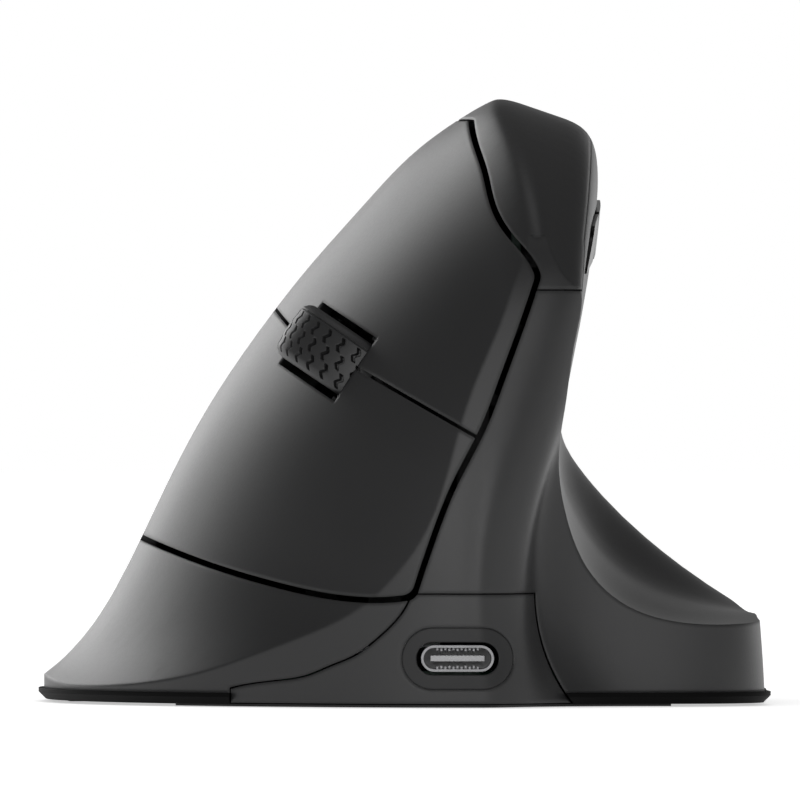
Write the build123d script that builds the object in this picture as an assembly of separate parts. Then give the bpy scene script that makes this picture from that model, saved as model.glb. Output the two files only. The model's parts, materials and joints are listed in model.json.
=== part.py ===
from build123d import *
import math
import os

# Vertical mouse for the right hand. Millimetres, +Z up, fingertips towards -Y, thumb towards +X.
# The origin is under the middle of the base, on the surface that the mouse rests on.

# Driving dimensions
WIDTH = 92.0
HEIGHT = 76.1
LENGTH = 118.0
WALL = 2.2
PLATE_THICKNESS = 1.4
SKATE_PROUD = 0.3
SEAM_GAP = 0.16
BUTTON_GAP = 0.75
FINGER_ANGLE = 56.0
WHEEL_DIAMETER = 23.0
WHEEL_WIDTH = 7.6
WHEEL_PROUD = 4.6
SLOT_WIDTH = 9.5
SLOT_LENGTH = 20.4
FIT = 0.05
RUNNING_GAP = 0.4
OVERRUN = 20.0

HALF_WIDTH = WIDTH / 2
HALF_LENGTH = LENGTH / 2
PLATE_BOTTOM = SKATE_PROUD
PLATE_TOP = PLATE_BOTTOM + PLATE_THICKNESS

# Places as shares of the half width, the half length and the height
WIDEST_SHARE = 0.085
FRONT_SHARE = 1.042
BACK_SHARE = 0.932
CREST_DROP_SHARE = 0.5
FINGER_SWEEP_SHARE = 0.913
BUTTON_BACK_SHARE = 0.11
CREST_SOFT_SHARE = 0.0196
MIDDLE_SHARE = 0.0327

FINGER_SHARES = [
    (-1.0217, 0.0289), (-0.9174, 0.0854), (-0.8174, 0.1498), (-0.7587, 0.2155),
    (-0.6957, 0.2943), (-0.5783, 0.4389), (-0.4457, 0.5677), (-0.2739, 0.7070),
    (-0.1109, 0.8200), (0.0000, 0.8896), (0.1152, 0.9527), (0.1870, 0.9829), (0.2630, 1.0000),
]
LOW_FRONT_SHARES = [
    (0.4261, 0.3942), (0.4435, 0.3180), (0.4935, 0.2352), (0.5957, 0.1695), (0.7500, 0.1373),
    (1.0870, 0.1432),
]
LOW_MIDDLE_SHARES = [
    (0.4348, 0.4008), (0.4717, 0.3193), (0.5500, 0.2470), (0.6696, 0.1919), (0.8152, 0.1603),
    (1.0870, 0.1393),
]
LOW_BACK_SHARES = [
    (0.4435, 0.4731), (0.4957, 0.4100), (0.5957, 0.3417), (0.7174, 0.2707), (0.8587, 0.1997),
    (1.0870, 0.1051),
]
LOW_END_SHARES = [
    (0.3261, 0.1971), (0.4130, 0.1656), (0.5217, 0.1419), (0.6522, 0.1209), (0.8043, 0.1038),
    (1.0870, 0.0854),
]
STATION_SHARES = [
    -0.966, -0.898, -0.814, -0.695, -0.508, -0.237, 0.034, 0.271, 0.475, 0.644, 0.780, 0.881,
    0.949, 1.003,
]

INNER_STATION_SHARES = [
    -0.915, -0.830, -0.695, -0.508, -0.237, 0.034, 0.271, 0.475, 0.644, 0.780, 0.881, 0.966,
]

RING_SHARES = [
    (0.0109, -0.9186), (-0.1848, -0.8678), (-0.3696, -0.7915), (-0.5652, -0.6780),
    (-0.7826, -0.4661), (-0.9391, -0.1695), (-0.9826, 0.1356), (-0.9304, 0.4576),
    (-0.7500, 0.7288), (-0.4457, 0.9153), (-0.0435, 0.9932), (0.3696, 0.9627),
    (0.6957, 0.8271), (0.9043, 0.5763), (0.9870, 0.2373), (1.0000, -0.1017),
    (1.0000, -0.3729), (0.9870, -0.5593), (0.8587, -0.6814),
]
RING_LEANING = 12
NOSE_LEVEL_SHARES = [
    (-0.0394, -0.9254, [(0.2739, -0.9153), (0.3435, -0.8678), (0.4565, -0.7898), (0.6087, -0.7288)]),
    (0.0657, -0.9339, [(0.2696, -0.9220), (0.3370, -0.8712), (0.3957, -0.7881), (0.5000, -0.7288)]),
    (0.1840, -0.9373, [(0.2565, -0.9254), (0.3261, -0.8712), (0.3587, -0.7864), (0.4522, -0.7271)]),
    (0.3942, -0.9169, [(0.3130, -0.9085), (0.3870, -0.8542), (0.4130, -0.7763), (0.5130, -0.7254)]),
    (0.5782, -0.8814, [(0.4043, -0.8644), (0.4739, -0.8136), (0.5261, -0.7492), (0.6217, -0.7153)]),
    (0.6833, -0.8508, [(0.4435, -0.8373), (0.5130, -0.7898), (0.5783, -0.7356), (0.6739, -0.7102)]),
    (0.7687, -0.8060, [(0.4870, -0.7797), (0.5565, -0.7458), (0.6348, -0.7153), (0.7261, -0.7017)]),
]
NOSE_MIDDLE_SHARE = 0.1413

BUTTON_TOP_SHARES = [(-0.1000, 0.9750), (0.1600, 0.9640), (0.1848, 0.9619)]
BUTTON_CREST_SHARES = [
    (0.1848, 0.9619), (0.1957, 0.9218), (0.2196, 0.8752), (0.2435, 0.8134), (0.2870, 0.7661),
    (0.3391, 0.7280), (0.3609, 0.7004),
]
BUTTON_SPINE_SHARES = [
    (0.3609, 0.7004), (0.3043, 0.6005), (0.2630, 0.5329), (0.2174, 0.4612), (0.1370, 0.3653),
    (0.0815, 0.2812), (0.0283, 0.1853),
]
BUTTON_BOTTOM_SHARES = [
    (0.0283, 0.1853), (-0.0957, 0.1800), (-0.1913, 0.1853), (-0.3652, 0.2076),
    (-0.5065, 0.2319), (-0.7022, 0.2746), (-1.0000, 0.3482),
]
SPLIT_SHARES = [
    (-0.5217, 0.7411), (-0.3435, 0.6505), (-0.2957, 0.6176), (-0.2174, 0.5861),
    (0.1761, 0.4494), (0.3478, 0.3890),
]
NOSE_TOP_SHARE = 0.1840
NOSE_LEFT_SHARES = [
    (0.0304, 0.1840), (-0.0043, 0.1459), (-0.0587, 0.1130), (-0.1217, 0.0841),
    (-0.1870, 0.0670), (-0.2500, 0.0512), (-0.3174, 0.0434), (-0.4587, 0.0289),
]
NOSE_RIGHT_SHARES = [(0.3587, 0.1840), (0.4000, 0.0657), (0.4609, 0.0039)]
SPINE_TOP_SHARE = 0.6780


def mix(a, b, t):
    return a + (b - a) * t


def smooth(t):
    t = max(0.0, min(1.0, t))
    return t * t * (3 - 2 * t)


def rounding(u, power=2.0, root=0.5):
    """0 at u = 0, rising to 1 at u = 1 like the quarter of an ellipse."""
    u = max(0.0, min(1.0, u))
    return 1.0 - (1.0 - u**power) ** root


def x_at(share):
    return share * HALF_WIDTH


def y_at(share):
    return share * HALF_LENGTH


def z_at(share):
    return share * HEIGHT


def across(shares):
    """Points of a front view outline, as (x, z)."""
    return [(x_at(x), z_at(z)) for x, z in shares]


def fan(first, second, t):
    return [(mix(p[0], q[0], t), mix(p[1], q[1], t)) for p, q in zip(first, second)]


FINGER_LINE = Spline(*[Vector(x, 0, z) for x, z in across(FINGER_SHARES)])
LOW_FRONT = across(LOW_FRONT_SHARES)
LOW_MIDDLE = across(LOW_MIDDLE_SHARES)
LOW_BACK = across(LOW_BACK_SHARES)
LOW_END = across(LOW_END_SHARES)


def finger_share_at(height):
    low, high = 0.0, 1.0
    for _ in range(40):
        middle = (low + high) / 2
        if (FINGER_LINE @ middle).Z < height:
            low = middle
        else:
            high = middle
    return low


def finger_sweep(y):
    """How far the finger face has drawn in towards the nose at a station."""
    u = (y_at(WIDEST_SHARE) - y) / y_at(FRONT_SHARE)
    return x_at(FINGER_SWEEP_SHARE) * rounding(u, 1.5, 0.6)


def section_line(y):
    """The skin's outline at one station, from the left skirt over the crest to the wing."""
    crest_soft = x_at(CREST_SOFT_SHARE)
    pivot = x_at(0.0652)
    if y < y_at(WIDEST_SHARE):
        u = (y_at(WIDEST_SHARE) - y) / y_at(FRONT_SHARE)
        top = HEIGHT - z_at(CREST_DROP_SHARE) * rounding(u)
        end = finger_share_at(top)
        finger = [FINGER_LINE @ (end * k / 9) for k in range(10)]
        finger = [(p.X + finger_sweep(y), p.Z) for p in finger]
        full = 1 - smooth(u / 0.8)
        crest_x, crest_z = finger[-1]
        finger[-1] = (crest_x - crest_soft, crest_z - z_at(mix(0.0131, 0.0039, full)))
        finger.append((crest_x, crest_z - z_at(mix(0.0039, 0.0, full))))
        shoulder_z = crest_z - z_at(mix(0.0723, 0.0644, full))
        reach = smooth((shoulder_z - z_at(0.631)) / z_at(0.315))
        shoulder_x = max(x_at(mix(0.4804, 0.5217, reach)), crest_x + crest_soft)
        low = fan(LOW_FRONT, LOW_MIDDLE, full)
        bulges = (x_at(mix(0.002, 0.035, full)), x_at(mix(-0.002, 0.0175, full)))
    else:
        u = (y - y_at(WIDEST_SHARE)) / y_at(BACK_SHARE)
        tall = 1 - 0.88 * rounding(u)
        wide = 1 - 0.78 * rounding(u, 2.3)
        finger = [FINGER_LINE @ (k / 9) for k in range(10)]
        finger = [(pivot + (p.X - pivot) * wide, p.Z * tall) for p in finger]
        crest_x, crest_z = finger[-1]
        ease = 1 - smooth(u * 2)
        finger[-1] = (crest_x - crest_soft, crest_z - z_at(mix(0.0007, 0.0046, ease)))
        finger.append((crest_x, crest_z))
        shoulder_x = pivot + x_at(0.4565) * mix(wide, 1, 0.12)
        shoulder_z = HEIGHT * tall * 0.9356
        low = fan(LOW_MIDDLE, LOW_BACK, smooth(u / 0.6))
        low = fan(low, LOW_END, smooth((u - 0.42) / 0.56))
        ease = 1 - smooth(u / 0.8)
        bulges = (x_at(0.035) * ease, x_at(0.0175) * ease)
    facet = (mix(crest_x, shoulder_x, 0.52), crest_z - (crest_z - shoulder_z) * 0.33)
    thumb = [facet, (shoulder_x, shoulder_z)]
    for share, bulge in zip((0.27, 0.62), bulges):
        x = mix(shoulder_x, low[0][0], share) + bulge
        thumb.append((x, mix(shoulder_z, low[0][1], share)))
    return finger, thumb + low


def inset_points(points, depth):
    """Points of an open outline moved to its right hand side by depth."""
    moved = []
    for i, (x, z) in enumerate(points):
        before = points[max(i - 1, 0)]
        after = points[min(i + 1, len(points) - 1)]
        run = math.dist(before, after)
        along = ((after[0] - before[0]) / run, (after[1] - before[1]) / run)
        moved.append((x + along[1] * depth, z - along[0] * depth))
    return moved


def mean_steps(rows, closed=False):
    """Spline parameters that all the rows of points share, from their mean chord lengths."""
    count = len(rows[0])
    totals = [0.0] * (count + 1 if closed else count)
    for row in rows:
        along = [0.0]
        for i in range(1, len(totals)):
            along.append(along[-1] + math.dist(row[i - 1], row[i % count]))
        for i, value in enumerate(along):
            totals[i] += value / along[-1] / len(rows)
    return totals


def skin(depth):
    """The hand's form, as deep as depth under the outer surface."""
    floor = -OVERRUN / 2
    stations = list(STATION_SHARES)
    if depth > x_at(CREST_SOFT_SHARE):
        stations = INNER_STATION_SHARES
    rows = []
    for share in stations:
        finger, thumb = section_line(y_at(share))
        if depth > x_at(CREST_SOFT_SHARE):
            del finger[-2]
            del thumb[0]
        rows.append(inset_points(finger + thumb, depth))
    steps = mean_steps(rows)
    faces = []
    for share, row in zip(stations, rows):
        y = y_at(share)
        line = Edge.make_spline([Vector(x, y, z) for x, z in row], parameters=steps)
        left = Vector(row[0][0], y, floor)
        right = Vector(row[-1][0], y, floor)
        outline = Wire([line, Line(line @ 1, right), Line(right, left), Line(left, line @ 0)])
        faces.append(Face(outline))
    return loft(faces)


def ring_points(level, depth):
    """Plan outline at one level, clockwise from the nose, as deep as depth inside."""
    z, nose_y, nose = level
    front = (x_at(NOSE_MIDDLE_SHARE), y_at(nose_y))
    lean = mix(-0.0152, -0.0522, smooth(z / 0.4))
    ring = []
    for i, (x, y) in enumerate(RING_SHARES):
        shift = lean if i >= RING_LEANING else 0.0
        ring.append((x_at(x + shift), y_at(y)))
    ring[0] = (ring[0][0], (ring[0][1] + front[1]) / 2 + y_at(0.007))
    corner = [(x_at(x), y_at(y)) for x, y in reversed(nose)]
    points = [front] + ring + corner
    moved = []
    count = len(points)
    for i, (x, y) in enumerate(points):
        before = points[i - 1]
        after = points[(i + 1) % count]
        run = math.dist(before, after)
        along = ((after[0] - before[0]) / run, (after[1] - before[1]) / run)
        moved.append((x + along[1] * depth, y - along[0] * depth))
    return moved


def rim(depth):
    """The upright form of the rim and nose, up to the level where the crest takes over."""
    rows = [ring_points(level, depth) for level in NOSE_LEVEL_SHARES]
    steps = mean_steps(rows, closed=True)
    faces = []
    for level, row in zip(NOSE_LEVEL_SHARES, rows):
        points = [Vector(x, y, z_at(level[0])) for x, y in row]
        edge = Edge.make_spline(points, periodic=True, parameters=steps)
        faces.append(Face(Wire([edge])))
    return loft(faces)


def slab(low, high):
    """A block over the whole plan between two heights."""
    block = Box(WIDTH + OVERRUN, LENGTH + OVERRUN, high - low)
    return Pos(0, 0, (low + high) / 2) * block


def form(depth, floor, extra=0.0):
    """Skin and rim together, from floor upwards."""
    low = z_at(NOSE_LEVEL_SHARES[0][0])
    high = z_at(NOSE_LEVEL_SHARES[-1][0])
    outside = slab(low, high) - rim(depth)
    return (skin(depth) - outside) & slab(floor, HEIGHT + OVERRUN)


def face_of(lines):
    """The flat face inside a closed run of curves and polylines."""
    edges = []
    for line in lines:
        edges.extend(line.edges())
    return Face(Wire(edges))


def through(face, y_low, y_high):
    """A front view face drawn through the body from y_low to y_high."""
    return Pos(0, y_high, 0) * extrude(face, amount=y_high - y_low, dir=(0, -1, 0))


def front_curve(points):
    return Spline(*[Vector(x, 0, z) for x, z in points])


def front_lines(points):
    return Polyline(*[Vector(x, 0, z) for x, z in points])


def save(name, shape):
    """Writes a piece, moved so that the middle of the whole length is at Y = 0."""
    placed = Pos(0, -y_at(MIDDLE_SHARE), 0) * shape
    export_step(placed, os.path.join("parts", name + ".step"))



def between_levels(t):
    """A plan outline level between the first two."""
    low, high = NOSE_LEVEL_SHARES[0], NOSE_LEVEL_SHARES[1]
    return (mix(low[0], high[0], t), mix(low[1], high[1], t), fan(low[2], high[2], t))


def plan_face(depth, height):
    """The base's plan outline as a flat face at a height, as deep as depth inside."""
    row = ring_points(between_levels(0.5), depth)
    steps = mean_steps([row], closed=True)
    points = [Vector(x, y, height) for x, y in row]
    return Face(Wire([Edge.make_spline(points, periodic=True, parameters=steps)]))


def plan_block(depth, low, high):
    return extrude(plan_face(depth, low), amount=high - low, dir=(0, 0, 1))


def bar(x_low, x_high, y_low, y_high, z_low, z_high):
    """A box between six planes."""
    block = Box(x_high - x_low, y_high - y_low, z_high - z_low)
    return Pos((x_low + x_high) / 2, (y_low + y_high) / 2, (z_low + z_high) / 2) * block


def post(x, y, radius, z_low, z_high):
    """An upright cylinder between two heights."""
    return Pos(x, y, (z_low + z_high) / 2) * Cylinder(radius, z_high - z_low)


# Where cutting shapes end, well outside the body
CUT_FRONT = -(HALF_LENGTH + OVERRUN)
CUT_BACK = HALF_LENGTH + OVERRUN
CUT_SIDE = HALF_WIDTH + OVERRUN
CUT_TOP = HEIGHT + OVERRUN

# Seams of the shells
SPLIT_GAP = 0.45
CORNER_RADIUS = 1.6
BUTTON_BACK = y_at(BUTTON_BACK_SHARE)
NOSE_BACK_SHARE = -0.66
NOSE_LIFT = 0.2
NOSE_FLOOR = PLATE_BOTTOM + NOSE_LIFT
THUMB_LEFT_SHARE = 0.0283
THUMB_BACK_LEFT_SHARE = 0.30
SPINE_BACK_SHARE = -0.70
SPINE_FRONT_SHARE = -0.80
SHOULDER_STATION_SHARES = [
    -0.695, -0.508, -0.237, 0.034, 0.271, 0.475, 0.644, 0.780, 0.881, 0.949,
]

# The finger face: a frame with X up its slope, Y to the back and Z out of the face
ALONG = Vector(math.cos(math.radians(FINGER_ANGLE)), 0, math.sin(math.radians(FINGER_ANGLE)))
OUT = Vector(-ALONG.Z, 0, ALONG.X)
FACE_X_SHARE = -0.3391
FACE_Z_SHARE = 0.6570
FACE_PLACE = Vector(x_at(FACE_X_SHARE), 0, z_at(FACE_Z_SHARE))
FACE = Plane(origin=FACE_PLACE, x_dir=ALONG, z_dir=OUT).location

# Scroll wheel: its slot lies square to the skin, which turns to the front there
SLOT_X_SHARE = -0.2130
SLOT_Y_SHARE = -0.449
SLOT_Z_SHARE = 0.5861
SLOT_TILT = 22.0
SLOT_CORNER = 2.0
SLOT_PLACE = Vector(x_at(SLOT_X_SHARE), y_at(SLOT_Y_SHARE), z_at(SLOT_Z_SHARE))
SLOT_OUT = OUT * math.cos(math.radians(SLOT_TILT)) - Vector(0, 1, 0) * math.sin(
    math.radians(SLOT_TILT)
)
SLOT = Plane(origin=SLOT_PLACE, x_dir=ALONG, z_dir=SLOT_OUT).location
WHEEL_RADIUS = WHEEL_DIAMETER / 2
WHEEL_CENTRE = SLOT_PLACE - SLOT_OUT * (WHEEL_RADIUS - WHEEL_PROUD)
WHEEL = Plane(origin=WHEEL_CENTRE, x_dir=ALONG, z_dir=OUT).location
WHEEL_N = (WHEEL_CENTRE - FACE_PLACE).dot(OUT)
WHEEL_U = (WHEEL_CENTRE - FACE_PLACE).dot(ALONG)
HUB_RADIUS = 8.2
HUB_WIDTH = 6.0
TYRE_ROUND = 1.3
AXLE_RADIUS = 1.1
WHEEL_ROOM = 0.55

# Wheel cradle: a fork that slides down in a stirrup and presses a switch
FORK_GAP = 0.45
FORK_THICKNESS = 1.25
FORK_LENGTH = 7.2
FORK_TOP = 1.9
FORK_FLOOR = 1.8
FORK_CLEARANCE = 0.9
CRADLE_TRAVEL = 0.4
STIRRUP_GAP = 0.3
STIRRUP_WALL = 1.5
STIRRUP_FLOOR = 1.8
STIRRUP_LENGTH = 8.0
WHEEL_SWITCH = (6.0, 6.0, 3.1)
WHEEL_PLUNGER_RADIUS = 1.4
ENCODER = (4.0, 6.0, 4.2)
FORK_INNER = WHEEL_WIDTH / 2 + FORK_GAP
FORK_OUTER = FORK_INNER + FORK_THICKNESS
FORK_BOTTOM = -(WHEEL_RADIUS + FORK_CLEARANCE + FORK_FLOOR)
STIRRUP_INNER = FORK_OUTER + STIRRUP_GAP
STIRRUP_OUTER = STIRRUP_INNER + STIRRUP_WALL
PLUNGER_TOP = FORK_BOTTOM - CRADLE_TRAVEL - FIT
PLUNGER_HEIGHT = 0.3
STIRRUP_SEAT = PLUNGER_TOP - PLUNGER_HEIGHT - WHEEL_SWITCH[2]

# Button hinge and the frame that carries it
PIN_RADIUS = 1.0
PIN_HALF = 21.0
PIN_BEHIND = 3.5
PIN_DEPTH = 7.5
LUG_WIDTH = 3.0
LUG_HALF = 2.2
INDEX_LUGS = (4.5, 18.5)
MIDDLE_LUGS = (-6.5, -17.5)
FRAME_POSTS = (-12.0, -1.0, 11.5)
FRAME_TILT = 18.0
FRAME_DEPTH = 11.5
FRAME_THICKNESS = 2.0
FRAME_LOW = -19.0
FRAME_HIGH = 15.0
FRAME_FRONT = -44.0
FRAME_BACK = 3.0
FRAME_SLOT_HALF = 13.0
LEG_SIDE = 4.0
LEG_SHARES = [(-0.0435, -0.60), (-0.2174, 0.02), (0.1957, -0.60)]
PIN_Y = BUTTON_BACK - PIN_BEHIND
TILT_OUT = OUT * math.cos(math.radians(FRAME_TILT)) - Vector(0, 1, 0) * math.sin(
    math.radians(FRAME_TILT)
)
FRAME_PLACE = FACE_PLACE + Vector(0, PIN_Y, 0) - OUT * FRAME_DEPTH
FRAME = Plane(origin=FRAME_PLACE, x_dir=ALONG, z_dir=TILT_OUT).location

# Switches under the two finger buttons
KEY_SWITCH = (5.8, 10.0, 5.0)
KEY_PLUNGER = (2.4, 1.2, 0.5)
KEY_SWITCH_U = (11.6, -13.0)
KEY_SWITCH_V = -35.5
KEY_PLUNGER_SHIFT = 2.5

# Thumb buttons: one strip on the thumb wall that rises to the back
SIDE_PROUD = 0.5
SIDE_HEIGHT = 6.0
SIDE_CORNER = 1.8
SIDE_GAP = 0.35
SIDE_SPLIT = 0.5
SIDE_TRAVEL = 0.5
SIDE_FRONT_SHARES = (-0.5254, 0.7438)
SIDE_BACK_SHARES = (0.2034, 0.7963)
SIDE_STEM = (2.0, 3.0)
SIDE_SWITCH = (5.0, 6.0, 6.0)
SIDE_SWITCH_RIGHT_SHARE = 0.4348
SIDE_BOARD_THICKNESS = 1.2
SIDE_BOARD_MARGIN = 3.0
ARM_SHARES = [(-0.3051, 0.6860, 0.1400), (0.0000, 0.7270, 0.0350)]
ARM_WIDTH = 4.0
ARM_HEIGHT = 2.8

# Charging socket in the nose
PORT_X_SHARE = 0.1522
PORT_Z = 6.1
TRIM = (13.7, 7.6)
TRIM_DEPTH = 3.6
PORT_OPENING = (10.2, 4.06)
SOCKET = (9.0, 3.26)
SOCKET_WALL = 0.3
SOCKET_LENGTH = 7.6
SOCKET_RECESS = 1.0
TONGUE = (6.69, 0.7)
TONGUE_RECESS = 0.9
TONGUE_ROOT = 1.2

# Boards on the base
BOARD_THICKNESS = 1.2
BOARD_INSET = 5.5
BOARD_LEFT_SHARE = -0.53
BOARD_RIGHT_SHARE = 0.57
BOARD_BACK_SHARE = 0.10
BOARD_TOP = PORT_Z - SOCKET[1] / 2
BOARD_BOTTOM = BOARD_TOP - BOARD_THICKNESS
STANDOFF_RADIUS = 2.0
STANDOFF_SHARES = [(-0.3043, -0.5085), (0.4348, -0.5085), (0.3261, 0.0000)]
LEG_CLEARANCE = 0.3

# Sensor and lens
SENSOR = (11.0, 12.5, 2.4)
SENSOR_X_SHARE = 0.05
SENSOR_Y_SHARE = -0.18
LENS = (12.0, 9.0)
WINDOW = (9.0, 6.0)
LENS_DROP = 0.5

# Battery in its tray
BATTERY = (30.0, 20.0, 6.0)
BATTERY_X_SHARE = -0.2174
BATTERY_Y_SHARE = 0.3559
TRAY_WALL = 0.9
TRAY_FLOOR = 0.6
TRAY_HEIGHT = 4.2
BATTERY_GAP = 0.2

# Base plate, skates and screws
PLATE_OVERHANG = 0.7
PLATE_CHAMFER = 0.9
SKATE_THICKNESS = 0.7
SKATE_INSET = 3.0
SKATE_WIDTH = 6.7
SKATE_GAP = 0.1
NOSE_ROOM = 0.5
SKATE_FRONT_SHARE = -0.5678
SKATE_FRONT_RIGHT_SHARE = 0.7304
SKATE_SIDE_SHARES = (0.0, 0.38)
SKATE_REAR_SHARE = 0.68
SCREW_SHARES = [(-0.7609, -0.0847), (-0.5870, 0.6271), (0.8043, -0.3390), (0.7609, 0.5085)]
SCREW_RADIUS = 1.0
SCREW_HEAD_RADIUS = 1.9
SCREW_HEAD_HEIGHT = 0.7
SCREW_LENGTH = 6.0
BOSS_RADIUS = 3.0

# Power slider and pairing button under the base
KNOB = (4.0, 3.0)
KNOB_TRAVEL = 3.0
KNOB_GAP = 0.2
KNOB_RECESS = 0.15
FLANGE_LIP = 0.9
FLANGE_THICKNESS = 0.5
FLANGE_GAP = 0.1
POWER_X_SHARE = 0.62
POWER_Y_SHARE = 0.20
POWER_WALL = 0.8
POWER_HEIGHT = 3.4
PAIR_RADIUS = 2.0
PAIR_X_SHARE = 0.30
PAIR_Y_SHARE = 0.42
PAIR_TRAVEL = 0.3
PAIR_HEIGHT = 3.2


def moved_chain(chain, grow):
    """Points of an open outline moved to its left hand side by grow, with mitred corners."""
    normals = []
    for p, q in zip(chain, chain[1:]):
        run = math.dist(p, q)
        normals.append(((p[1] - q[1]) / run, (q[0] - p[0]) / run))
    moved = []
    for i, (x, z) in enumerate(chain):
        sides = normals[max(i - 1, 0) : i + 1]
        across_x = sum(side[0] for side in sides) / len(sides)
        across_z = sum(side[1] for side in sides) / len(sides)
        size = across_x**2 + across_z**2
        moved.append((x + grow * across_x / size, z + grow * across_z / size))
    return moved


def button_outline(grow):
    """Front view outline of both finger buttons, open past the silhouette, grown all round."""
    parts = [across(s) for s in (BUTTON_CREST_SHARES, BUTTON_SPINE_SHARES, BUTTON_BOTTOM_SHARES)]
    chain = parts[0] + parts[1][1:] + parts[2][1:]
    chain = moved_chain(chain, grow)
    first = len(parts[0])
    second = first + len(parts[1]) - 1
    crest = front_curve(chain[:first])
    spine = front_curve(chain[first - 1 : second])
    bottom = front_curve(chain[second - 1 :])
    top_x, top_z = across(BUTTON_TOP_SHARES)[0]
    path = [
        chain[-1],
        (-CUT_SIDE, chain[-1][1]),
        (-CUT_SIDE, top_z + grow),
        (top_x, top_z + grow),
        chain[0],
    ]
    face = face_of([crest, spine, bottom, front_lines(path)])
    ends = (spine @ 0, spine @ 1)
    corners = [v for v in face.vertices() if min((v.center() - e).length for e in ends) < FIT]
    return fillet(corners, CORNER_RADIUS)


def split_region(side):
    """All that lies above (side 1) or below (side -1) the seam between the finger buttons."""
    shift = ALONG * (SPLIT_GAP / 2 * side)
    points = [Vector(x, 0, z) + shift for x, z in across(SPLIT_SHARES)]
    curve = Spline(*points)
    left = points[0] + (points[0] - points[1]).normalized() * LENGTH
    right = points[-1] + (points[-1] - points[-2]).normalized() * LENGTH
    away = ALONG * (LENGTH * side)
    path = Polyline(points[-1], right, right + away, left + away, left, points[0])
    return through(face_of([curve, path]), CUT_FRONT, CUT_BACK)


def nose_outline(grow):
    """Front view outline of the nose panel, open below, with grow moving its three sides out."""
    left = [Vector(x, 0, z) for x, z in across(NOSE_LEFT_SHARES)]
    right = [Vector(x, 0, z) for x, z in across(NOSE_RIGHT_SHARES)]
    lift = Vector(0, 0, grow)
    left = [p + Vector(-grow, 0, 0) + lift for p in left]
    right = [p + Vector(grow, 0, 0) + lift for p in right]
    left_curve = Spline(*left)
    right_curve = Spline(*right)
    low = -OVERRUN
    end = left[-1]
    foot = right[-1]
    under = Polyline(end, Vector(end.X, 0, low), Vector(foot.X, 0, low), foot)
    return face_of([left_curve, under, right_curve, Line(right[0], left[0])])


def shoulder_place(share):
    finger, thumb = section_line(y_at(share))
    return Vector(0, y_at(share), thumb[1][1])


def thumb_region(grow):
    """All that belongs to the thumb shell: the spine below its top seam and the thumb's side."""
    lift = Vector(0, 0, grow)
    points = [shoulder_place(share) + lift for share in SHOULDER_STATION_SHARES]
    spine_top = z_at(SPINE_TOP_SHARE) + grow
    line = Spline(*points)
    corner = Vector(0, y_at(SPINE_FRONT_SHARE), spine_top)
    end = points[-1]
    path = Polyline(
        end,
        Vector(0, CUT_BACK, end.Z),
        Vector(0, CUT_BACK, -OVERRUN),
        Vector(0, CUT_FRONT, -OVERRUN),
        Vector(0, CUT_FRONT, spine_top),
        corner,
        points[0],
    )
    left = x_at(THUMB_LEFT_SHARE) - grow
    face = face_of([line, path])
    region = Pos(left, 0, 0) * extrude(face, amount=CUT_SIDE - left, dir=(1, 0, 0))
    back_left = x_at(THUMB_BACK_LEFT_SHARE) - grow
    behind = y_at(SPINE_BACK_SHARE) - grow
    return region - bar(-CUT_SIDE, back_left, behind, CUT_BACK * 2, -CUT_TOP, CUT_TOP)


def side_strip(y_low, y_high, grow):
    """Side view outline of a thumb button between two places along the strip."""
    front_y, front_z = y_at(SIDE_FRONT_SHARES[0]), z_at(SIDE_FRONT_SHARES[1])
    back_y, back_z = y_at(SIDE_BACK_SHARES[0]), z_at(SIDE_BACK_SHARES[1])
    slope = math.degrees(math.atan2(back_z - front_z, back_y - front_y))
    run = math.dist((front_y, front_z), (back_y, back_z))
    place = Plane(
        origin=(x_at(SIDE_SWITCH_RIGHT_SHARE), front_y, front_z),
        x_dir=(0, math.cos(math.radians(slope)), math.sin(math.radians(slope))),
        z_dir=(1, 0, 0),
    )
    length = (y_high - y_low) * run + grow * 2
    middle = (y_low + y_high) / 2 * run
    shape = RectangleRounded(length, SIDE_HEIGHT + grow * 2, SIDE_CORNER + grow)
    return extrude(place.location * Pos(middle, 0, 0) * shape, amount=CUT_SIDE, dir=(1, 0, 0))


def pill(width, height, y_low, y_high):
    """A rounded bar along Y at the port, as wide and high as given."""
    face = Plane.XZ.location * SlotOverall(width, height)
    return Pos(x_at(PORT_X_SHARE), y_high, PORT_Z) * extrude(
        face, amount=y_high - y_low, dir=(0, -1, 0)
    )


def rod(frame, u, v, n, radius, half):
    """A round bar along the finger face's slope."""
    return frame * Pos(u, v, n) * Rot(0, 90, 0) * Cylinder(radius, half * 2)


def block(frame, u_low, u_high, v_low, v_high, n_low, n_high):
    """A box between six planes of a tilted frame."""
    return frame * bar(u_low, u_high, v_low, v_high, n_low, n_high)


os.makedirs("parts", exist_ok=True)

# Solids that the pieces are cut from
outer = form(0.0, NOSE_FLOOR)
inner = form(WALL, -OVERRUN / 4)
middle_skin = skin(WALL / 2)
case = outer - inner
own = through(button_outline(0.0), CUT_FRONT, BUTTON_BACK)
around = through(button_outline(BUTTON_GAP), CUT_FRONT, BUTTON_BACK + BUTTON_GAP)
buttons = case & own
rest = case - around
slot_shape = RectangleRounded(SLOT_WIDTH, SLOT_LENGTH, SLOT_CORNER)
slot = SLOT * extrude(slot_shape, amount=OVERRUN, both=True)
wheel_room = rod(WHEEL, 0, 0, 0, WHEEL_RADIUS + WHEEL_ROOM, SLOT_WIDTH / 2)

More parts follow.
